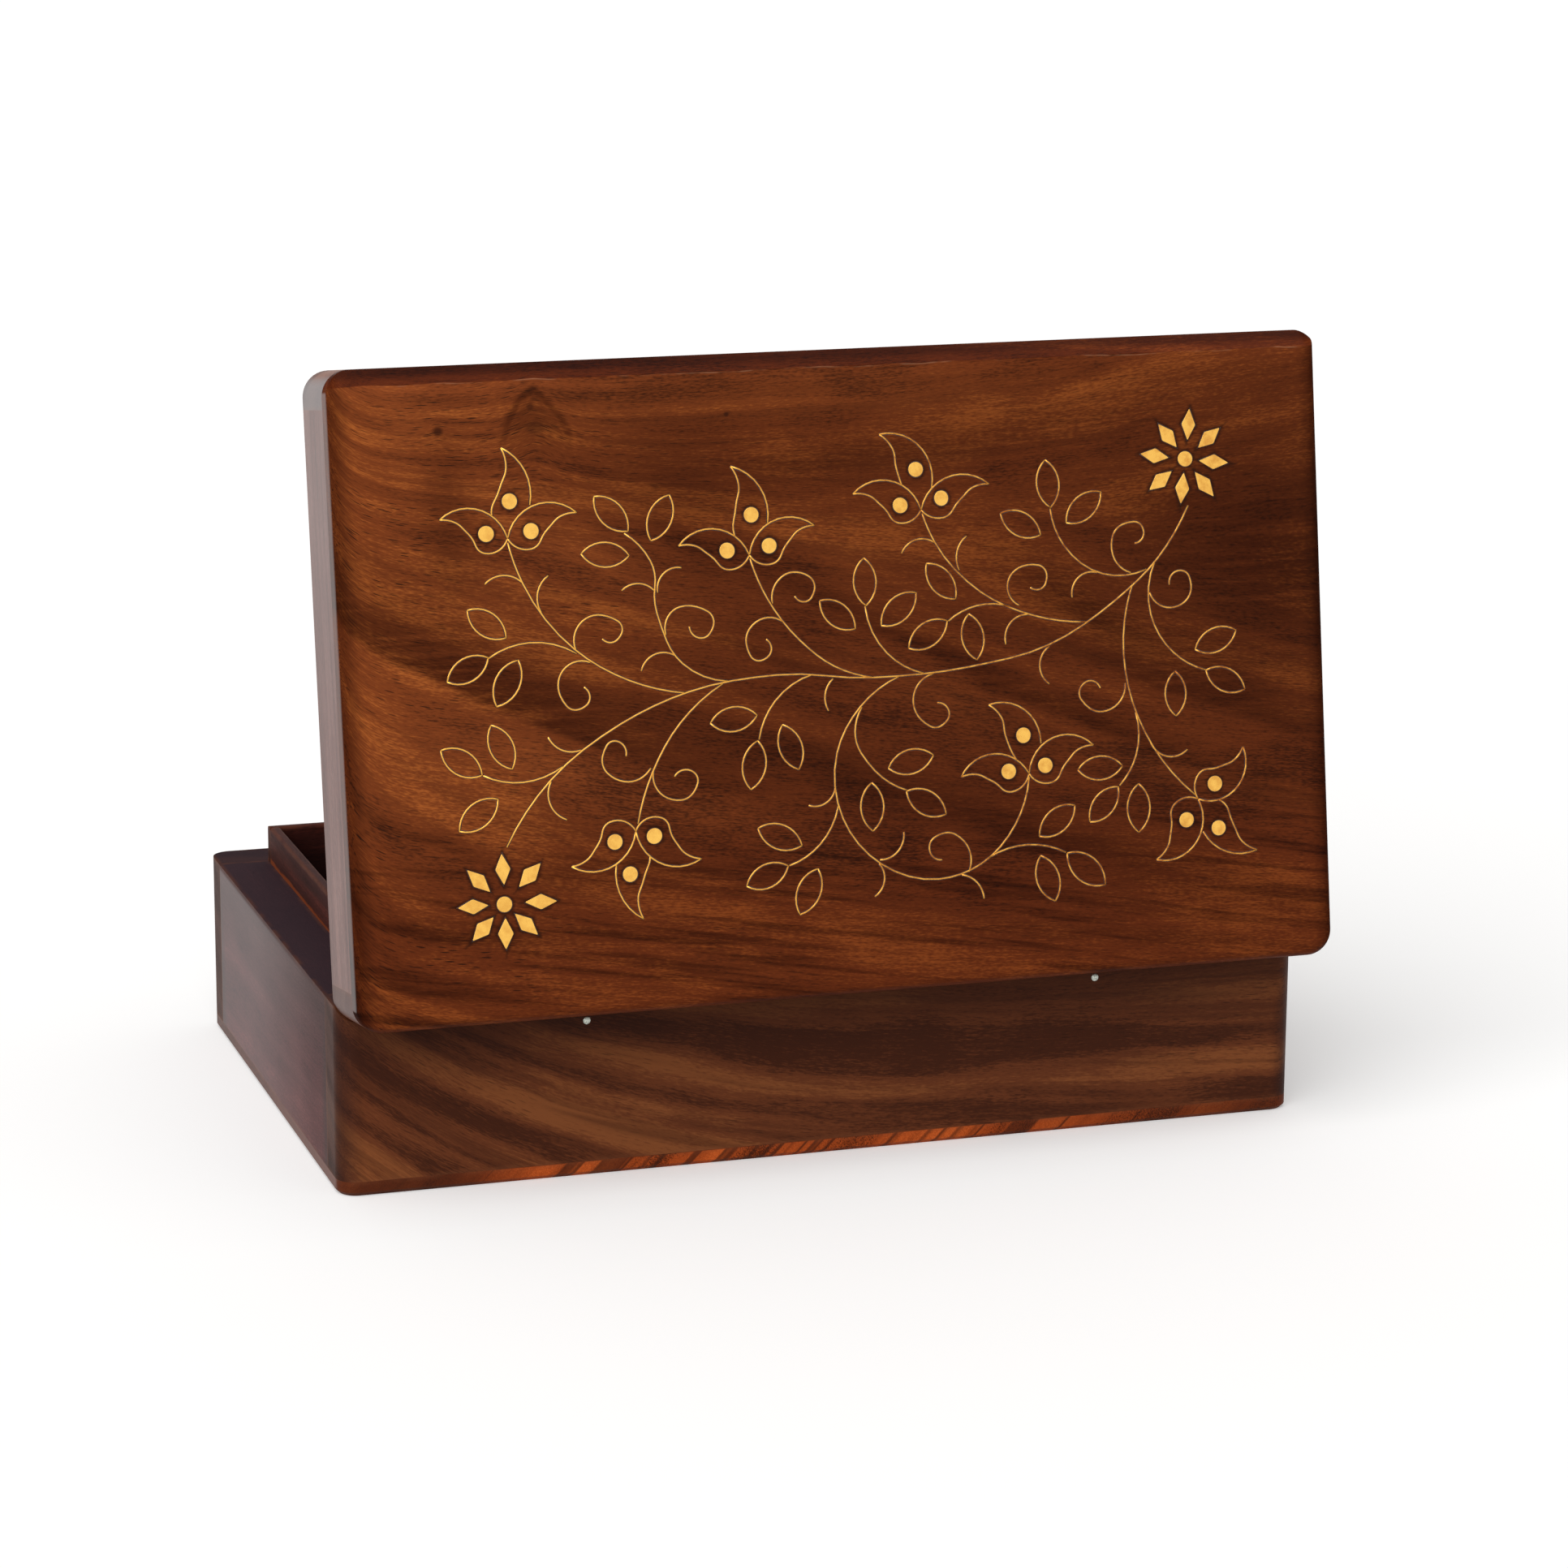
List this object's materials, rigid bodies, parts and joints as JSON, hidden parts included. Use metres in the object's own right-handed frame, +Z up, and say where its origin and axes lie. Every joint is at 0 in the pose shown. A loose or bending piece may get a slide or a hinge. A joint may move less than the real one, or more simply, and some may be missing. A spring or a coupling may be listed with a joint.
{
  "type": "inlaid wooden box",
  "caption": "Shallow rectangular hardwood box with its hinged lid standing open, a flowering vine inlaid in brass on the lid and an inner lip that locates the lid.",
  "frame": {"origin": "centre of the base's underside, on the surface that the box stands on", "axes": "+Z up, +X along the width, hinges at the rear on +Y, front on -Y"},
  "size_m": [0.2032, 0.1461, 0.1638],
  "materials": {
    "base_wood": "dark brown, waxed satin",
    "liner_wood": "dark reddish brown, waxed",
    "bottom_wood": "streaked brown, satin",
    "rail_wood": "brown, waxed satin",
    "lid_wood": "warm brown, waxed satin",
    "inlay_brass": "polished",
    "hinge_brass": "dull",
    "hinge_steel": "bright drawn"
  },
  "bodies": {
    "base": {"bottom_panel": "bottom_wood", "base_front_wall": "base_wood", "base_back_wall": "base_wood", "base_left_wall": "base_wood", "base_right_wall": "base_wood", "liner_front": "liner_wood", "liner_back": "liner_wood", "liner_left": "liner_wood", "liner_right": "liner_wood", "base_hinge_leaf_left": "hinge_brass", "base_hinge_leaf_right": "hinge_brass", "hinge_pin_left": "hinge_steel", "hinge_pin_right": "hinge_steel"},
    "lid": {"lid_front_rail": "rail_wood", "lid_back_rail": "rail_wood", "lid_left_rail": "rail_wood", "lid_right_rail": "rail_wood", "lid_panel": "lid_wood", "lid_hinge_leaf_left": "hinge_brass", "lid_hinge_leaf_right": "hinge_brass", "inlay_stem_wire": "inlay_brass", "inlay_branch_wires": "inlay_brass", "inlay_petal_wires": "inlay_brass", "inlay_tendril_wires": "inlay_brass", "inlay_leaf_wires": "inlay_brass", "inlay_flower_dots": "inlay_brass", "inlay_rear_rosette_petals": "inlay_brass", "inlay_rear_rosette_centre": "inlay_brass", "inlay_front_rosette_petals": "inlay_brass", "inlay_front_rosette_centre": "inlay_brass"}
  },
  "joints": [
    {"name": "lid_hinge", "type": "hinge", "parent": "base", "child": "lid", "pos_m": [0, 0.0601, 0.0388], "axis": [1, 0, 0], "range_deg": [0, 81]}
  ]
}
